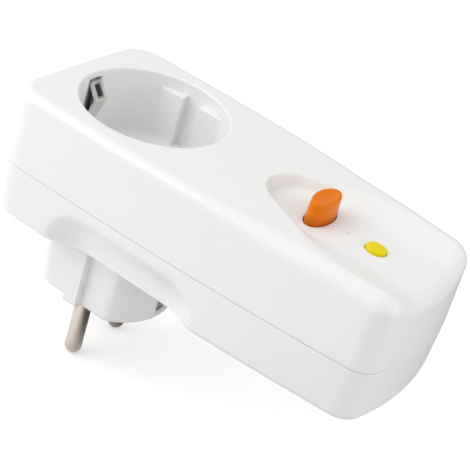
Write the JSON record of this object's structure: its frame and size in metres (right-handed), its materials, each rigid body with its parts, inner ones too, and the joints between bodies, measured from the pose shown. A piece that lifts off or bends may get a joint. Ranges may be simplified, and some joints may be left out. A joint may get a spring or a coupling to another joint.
{
  "type": "residual current adapter plug",
  "caption": "White plug-in residual current adapter: earthed pass-through socket over an earthed round plug, with an oval orange reset button, a yellow test button and its trip mechanism.",
  "frame": {"origin": "centre of the plug's pin face, on the axis shared by plug and socket", "axes": "+Z out of the socket face, +X along the housing toward the buttons, Y across, through both pins"},
  "size_m": [0.1161, 0.0534, 0.079],
  "materials": {
    "shell_white": "gloss moulding",
    "button_orange": "satin moulding",
    "button_yellow": "satin moulding",
    "plated_brass": "nickel plated",
    "spring_steel": "bright",
    "contact_brass": "bright",
    "contact_copper": "bright copper alloy",
    "dark_insulator": "matt moulding",
    "core_grey": "coated",
    "winding_copper": "enamelled wire",
    "board_green": "lacquered laminate",
    "component_tan": "lacquered",
    "component_blue": "dipped epoxy",
    "component_black": "moulded"
  },
  "bodies": {
    "housing": {"front_cover": "shell_white", "rear_cover": "shell_white", "plug_body": "shell_white", "cover_screws": "spring_steel", "live_pin": "plated_brass", "neutral_pin": "plated_brass", "pin_clamp": "dark_insulator", "earth_strap_far": "spring_steel", "earth_strap_near": "spring_steel", "earth_link": "spring_steel", "live_socket_sleeve": "contact_brass", "neutral_socket_sleeve": "contact_brass", "contact_base": "dark_insulator", "live_line_strip": "contact_copper", "neutral_line_strip": "contact_copper", "live_load_bar": "contact_copper", "neutral_load_bar": "contact_copper", "sensing_core": "core_grey", "sensing_winding": "winding_copper", "mechanism_base": "dark_insulator", "return_spring": "spring_steel", "test_leaf": "contact_brass", "coil_frame": "spring_steel", "coil_bobbin": "dark_insulator", "coil_winding": "winding_copper", "plunger_spring": "spring_steel", "latch_pin": "spring_steel", "circuit_board": "board_green", "board_screws": "spring_steel", "test_resistor": "component_tan", "suppressor": "component_blue", "control_chip": "component_black", "smoothing_capacitor": "component_black"},
    "reset": {"reset_button": "button_orange"},
    "carrier": {"contact_carrier": "dark_insulator", "live_moving_contact": "contact_copper", "neutral_moving_contact": "contact_copper"},
    "test": {"test_button": "button_yellow"},
    "plunger": {"trip_plunger": "spring_steel"},
    "latch": {"latch_lever": "spring_steel"}
  },
  "joints": [
    {"name": "reset_press", "type": "slide", "parent": "housing", "child": "reset", "axis": [0, 0, -1], "range_m": [0, 0.003], "stiffness_N_per_m": 800, "springref_m": -0.004},
    {"name": "carrier_close", "type": "slide", "parent": "housing", "child": "carrier", "axis": [0, 0, -1], "range_m": [0, 0.003], "stiffness_N_per_m": 800, "springref_m": -0.004, "deforming": ["return_spring"]},
    {"name": "test_press", "type": "slide", "parent": "housing", "child": "test", "axis": [0, 0, -1], "range_m": [0, 0.0007], "stiffness_N_per_m": 1500, "springref_m": -0.001, "deforming": ["test_leaf"]},
    {"name": "plunger_pull", "type": "slide", "parent": "housing", "child": "plunger", "axis": [1, 0, 0], "range_m": [0, 0.0007], "stiffness_N_per_m": 300, "springref_m": -0.001, "deforming": ["plunger_spring"]},
    {"name": "latch_swing", "type": "hinge", "parent": "housing", "child": "latch", "pos_m": [0.064, 0, 0.0266], "axis": [0, 1, 0], "range_deg": [0, 9.3]}
  ],
  "couplings": [
    {"joint": "carrier_close", "follows": "reset_press", "ratio": 1},
    {"joint": "latch_swing", "follows": "plunger_pull", "rad_per_m": 229.88}
  ]
}
